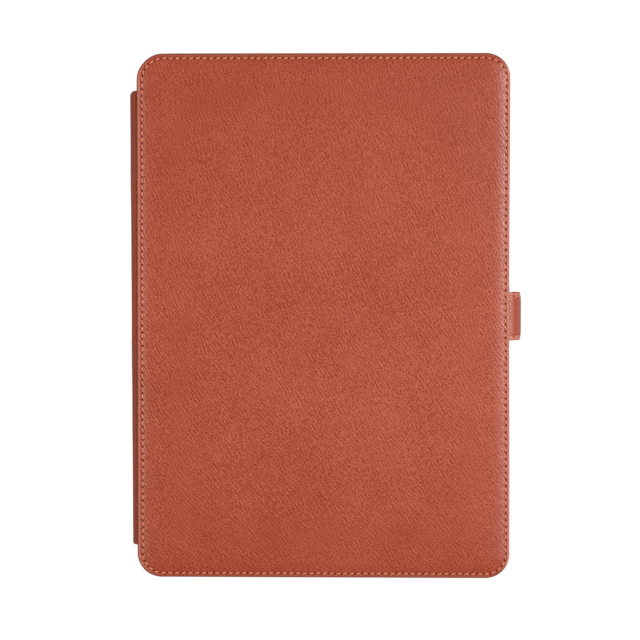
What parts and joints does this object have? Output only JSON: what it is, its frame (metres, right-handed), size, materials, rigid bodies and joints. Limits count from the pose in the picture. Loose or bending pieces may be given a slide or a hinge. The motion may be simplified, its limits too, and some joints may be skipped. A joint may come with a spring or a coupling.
{
  "type": "e-reader in folio cover",
  "caption": "Slim electronic book reader snapped into a stitched leather folio cover with a fold-round spine and a magnetic closure tab.",
  "frame": {"origin": "centre of the back cover's outer face, with the folio closed and lying on it", "axes": "+Z out of the front cover, +Y to the top of the page, +X from the spine to the closure tab"},
  "size_m": [0.1508, 0.2026, 0.0163],
  "materials": {
    "tan_leather": "pebbled, semi-matt",
    "brown_leather": "pebbled, semi-matt, darker",
    "tab_leather": "smooth, semi-matt, dark cut edges",
    "fibre_board": "raw grey board",
    "suede_lining": "microfibre suede",
    "black_plastic": "fine moulded texture",
    "tray_plastic": "soft-touch",
    "key_plastic": "satin",
    "steel": "plain",
    "nickel_magnet": "nickel plated",
    "aluminium": "sheet",
    "touch_glass": "anti-glare",
    "clear_acrylic": "clear",
    "epaper": "paper-like",
    "circuit_board": "solder mask",
    "chip_resin": "moulded",
    "polyimide_film": "film",
    "battery_foil": "foil pouch"
  },
  "bodies": {
    "back_cover": {"back_cover_leather": "tan_leather", "back_cover_board": "fibre_board", "back_cover_lining": "suede_lining", "spine_back_flap": "brown_leather", "holding_tray": "tray_plastic", "catch_plate": "steel", "rear_shell": "black_plastic", "front_bezel": "black_plastic", "touch_glass": "touch_glass", "front_light_guide": "clear_acrylic", "front_light_strip": "polyimide_film", "epaper_panel": "epaper", "chassis_plate": "aluminium", "display_flex": "polyimide_film", "main_board": "circuit_board", "processor_shield": "steel", "memory_chip": "chip_resin", "wireless_module": "steel", "cover_sensor": "chip_resin", "battery_socket": "key_plastic", "battery_pack": "battery_foil", "battery_lead": "polyimide_film", "usb_port": "steel", "power_switch": "steel", "key_board": "circuit_board", "key_switch_1": "steel", "key_switch_2": "steel", "key_switch_3": "steel", "key_switch_4": "steel", "board_screw_1": "steel", "board_screw_2": "steel", "board_screw_3": "steel", "chassis_screw_1": "steel", "chassis_screw_2": "steel", "chassis_screw_3": "steel", "chassis_screw_4": "steel", "key_board_screw_1": "steel", "key_board_screw_2": "steel"},
    "spine": {"spine_leather": "brown_leather", "spine_lining": "suede_lining"},
    "front_cover": {"front_cover_leather": "tan_leather", "front_cover_board": "fibre_board", "front_cover_lining": "suede_lining", "spine_front_flap": "brown_leather", "closure_tab_root": "tab_leather", "sleep_magnet": "nickel_magnet"},
    "closure_tab": {"closure_tab_outer": "tab_leather", "closure_tab_inner": "tab_leather", "closure_tab_core": "fibre_board", "closure_tab_magnet": "nickel_magnet"},
    "power_button": {"power_button": "key_plastic"},
    "home_key": {"home_key": "key_plastic"},
    "page_back_key": {"page_back_key": "key_plastic"},
    "page_forward_key": {"page_forward_key": "key_plastic"},
    "menu_key": {"menu_key": "key_plastic"}
  },
  "joints": [
    {"name": "back_fold", "type": "hinge", "parent": "back_cover", "child": "spine", "pos_m": [-0.0734, 0, 0.0021], "axis": [0, -1, 0], "range_deg": [0, 180]},
    {"name": "front_fold", "type": "hinge", "parent": "spine", "child": "front_cover", "pos_m": [-0.0734, 0, 0.0142], "axis": [0, -1, 0], "range_deg": [0, 180]},
    {"name": "tab_fold", "type": "hinge", "parent": "front_cover", "child": "closure_tab", "pos_m": [0.073, -0.0004, 0.0143], "axis": [0, -1, 0], "range_deg": [0, 90]},
    {"name": "power_press", "type": "slide", "parent": "back_cover", "child": "power_button", "axis": [0, 1, 0], "range_m": [0, 0.0004]},
    {"name": "home_press", "type": "slide", "parent": "back_cover", "child": "home_key", "axis": [0, 0, -1], "range_m": [0, 0.0004]},
    {"name": "page_back_press", "type": "slide", "parent": "back_cover", "child": "page_back_key", "axis": [0, 0, -1], "range_m": [0, 0.0004]},
    {"name": "page_forward_press", "type": "slide", "parent": "back_cover", "child": "page_forward_key", "axis": [0, 0, -1], "range_m": [0, 0.0004]},
    {"name": "menu_press", "type": "slide", "parent": "back_cover", "child": "menu_key", "axis": [0, 0, -1], "range_m": [0, 0.0004]}
  ]
}
